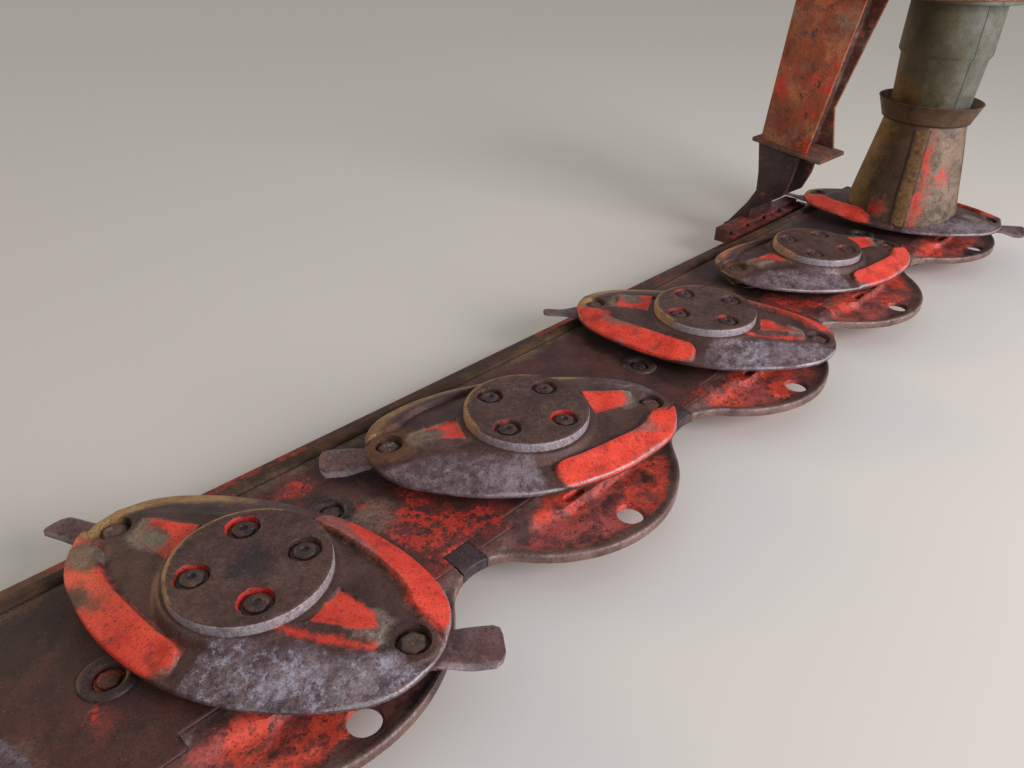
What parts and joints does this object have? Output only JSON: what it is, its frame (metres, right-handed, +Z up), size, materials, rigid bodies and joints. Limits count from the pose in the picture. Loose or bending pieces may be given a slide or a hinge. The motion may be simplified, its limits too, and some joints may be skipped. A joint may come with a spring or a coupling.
{
  "type": "disc mower cutter bar with drive turret",
  "caption": "Disc mower cutter bar: a flat gear case carrying oval discs with free-swinging knives, rock guards and skid shoes, with a conical drive turret and its hanger.",
  "frame": {"origin": "on the ground under the drive disc's axis, on the flat sole of its skid shoe", "axes": "+X along the bar from the outer end to the drive end, +Y to the rear, +Z up along the disc axes"},
  "size_m": [2.4162, 0.578, 0.632],
  "materials": {
    "bar_paint": "dull maroon paint worn to primer and rust",
    "guard_paint": "worn red paint over rusted steel",
    "disc_paint": "scoured steel with red paint left in the pressed hollows",
    "cap_steel": "rust-brown steel with a scoured rim",
    "knife_steel": "worn, stained steel",
    "bolt_steel": "rusted bolts",
    "lip_steel": "dusty tan over rust",
    "boss_steel": "rusted steel",
    "shoe_steel": "scoured steel",
    "foot_steel": "rusted steel with traces of red paint",
    "hanger_paint": "faded red paint over rust",
    "turret_sheet": "grimy sheet with patches of red paint",
    "sleeve_sheet": "dull grey-olive sheet",
    "shaft_steel": "machined steel"
  },
  "bodies": {
    "bar": {"case_tray": "bar_paint", "case_cover": "bar_paint", "rear_lip": "lip_steel", "gear_bosses": "boss_steel", "rock_guards": "guard_paint", "guard_links": "bar_paint", "skid_shoes": "shoe_steel", "pedestals": "boss_steel", "outer_shoe": "guard_paint", "inner_end_plate": "bar_paint", "hanger_foot": "foot_steel", "hanger_gussets": "foot_steel", "hanger_base": "hanger_paint", "hanger_arm": "hanger_paint", "head_plate": "hanger_paint", "sleeve": "sleeve_sheet", "sleeve_band": "sleeve_sheet"},
    "rotor_1": {"disc_1": "disc_paint", "knife_bolts_1": "bolt_steel", "cap_1": "cap_steel"},
    "blade_1a": {"knife_1a": "knife_steel"},
    "blade_1b": {"knife_1b": "knife_steel"},
    "rotor_2": {"disc_2": "disc_paint", "knife_bolts_2": "bolt_steel", "cap_2": "cap_steel"},
    "blade_2a": {"knife_2a": "knife_steel"},
    "blade_2b": {"knife_2b": "knife_steel"},
    "rotor_3": {"disc_3": "disc_paint", "knife_bolts_3": "bolt_steel", "cap_3": "cap_steel"},
    "blade_3a": {"knife_3a": "knife_steel"},
    "blade_3b": {"knife_3b": "knife_steel"},
    "rotor_4": {"disc_4": "disc_paint", "knife_bolts_4": "bolt_steel", "cap_4": "cap_steel"},
    "blade_4a": {"knife_4a": "knife_steel"},
    "blade_4b": {"knife_4b": "knife_steel"},
    "rotor_5": {"disc_5": "disc_paint", "knife_bolts_5": "bolt_steel", "cap_5": "cap_steel"},
    "blade_5a": {"knife_5a": "knife_steel"},
    "blade_5b": {"knife_5b": "knife_steel"},
    "rotor_6": {"disc_6": "disc_paint", "knife_bolts_6": "bolt_steel", "cone": "turret_sheet", "cone_collar": "turret_sheet", "drive_shaft": "shaft_steel"},
    "blade_6a": {"knife_6a": "knife_steel"},
    "blade_6b": {"knife_6b": "knife_steel"}
  },
  "joints": [
    {"name": "disc_1_spin", "type": "hinge", "parent": "bar", "child": "rotor_1", "pos_m": [-2.013, 0, 0.09], "axis": [0, 0, 1], "continuous": true},
    {"name": "knife_1a_swing", "type": "hinge", "parent": "rotor_1", "child": "blade_1a", "pos_m": [-2.17526, 0.06556, 0.0765], "axis": [0, 0, 1], "continuous": true},
    {"name": "knife_1b_swing", "type": "hinge", "parent": "rotor_1", "child": "blade_1b", "pos_m": [-1.85074, -0.06556, 0.0765], "axis": [0, 0, 1], "continuous": true},
    {"name": "disc_2_spin", "type": "hinge", "parent": "bar", "child": "rotor_2", "pos_m": [-1.6, 0, 0.09], "axis": [0, 0, 1], "continuous": true},
    {"name": "knife_2a_swing", "type": "hinge", "parent": "rotor_2", "child": "blade_2a", "pos_m": [-1.66271, 0.16338, 0.0765], "axis": [0, 0, 1], "continuous": true},
    {"name": "knife_2b_swing", "type": "hinge", "parent": "rotor_2", "child": "blade_2b", "pos_m": [-1.53729, -0.16338, 0.0765], "axis": [0, 0, 1], "continuous": true},
    {"name": "disc_3_spin", "type": "hinge", "parent": "bar", "child": "rotor_3", "pos_m": [-1.213, 0, 0.09], "axis": [0, 0, 1], "continuous": true},
    {"name": "knife_3a_swing", "type": "hinge", "parent": "rotor_3", "child": "blade_3a", "pos_m": [-1.36752, 0.08216, 0.0765], "axis": [0, 0, 1], "continuous": true},
    {"name": "knife_3b_swing", "type": "hinge", "parent": "rotor_3", "child": "blade_3b", "pos_m": [-1.05848, -0.08216, 0.0765], "axis": [0, 0, 1], "continuous": true},
    {"name": "disc_4_spin", "type": "hinge", "parent": "bar", "child": "rotor_4", "pos_m": [-0.8, 0, 0.09], "axis": [0, 0, 1], "continuous": true},
    {"name": "knife_4a_swing", "type": "hinge", "parent": "rotor_4", "child": "blade_4a", "pos_m": [-0.87945, 0.15593, 0.0765], "axis": [0, 0, 1], "continuous": true},
    {"name": "knife_4b_swing", "type": "hinge", "parent": "rotor_4", "child": "blade_4b", "pos_m": [-0.72055, -0.15593, 0.0765], "axis": [0, 0, 1], "continuous": true},
    {"name": "disc_5_spin", "type": "hinge", "parent": "bar", "child": "rotor_5", "pos_m": [-0.413, 0, 0.09], "axis": [0, 0, 1], "continuous": true},
    {"name": "knife_5a_swing", "type": "hinge", "parent": "rotor_5", "child": "blade_5a", "pos_m": [-0.57287, 0.07118, 0.0765], "axis": [0, 0, 1], "continuous": true},
    {"name": "knife_5b_swing", "type": "hinge", "parent": "rotor_5", "child": "blade_5b", "pos_m": [-0.25313, -0.07118, 0.0765], "axis": [0, 0, 1], "continuous": true},
    {"name": "disc_6_spin", "type": "hinge", "parent": "bar", "child": "rotor_6", "pos_m": [0, 0, 0.09], "axis": [0, 0, 1], "continuous": true},
    {"name": "knife_6a_swing", "type": "hinge", "parent": "rotor_6", "child": "blade_6a", "pos_m": [-0.05408, 0.16643, 0.0765], "axis": [0, 0, 1], "continuous": true},
    {"name": "knife_6b_swing", "type": "hinge", "parent": "rotor_6", "child": "blade_6b", "pos_m": [0.05408, -0.16643, 0.0765], "axis": [0, 0, 1], "continuous": true}
  ],
  "couplings": [
    {"joint": "disc_1_spin", "follows": "disc_6_spin", "ratio": -1},
    {"joint": "disc_2_spin", "follows": "disc_6_spin", "ratio": 1},
    {"joint": "disc_3_spin", "follows": "disc_6_spin", "ratio": -1},
    {"joint": "disc_4_spin", "follows": "disc_6_spin", "ratio": 1},
    {"joint": "disc_5_spin", "follows": "disc_6_spin", "ratio": -1}
  ]
}
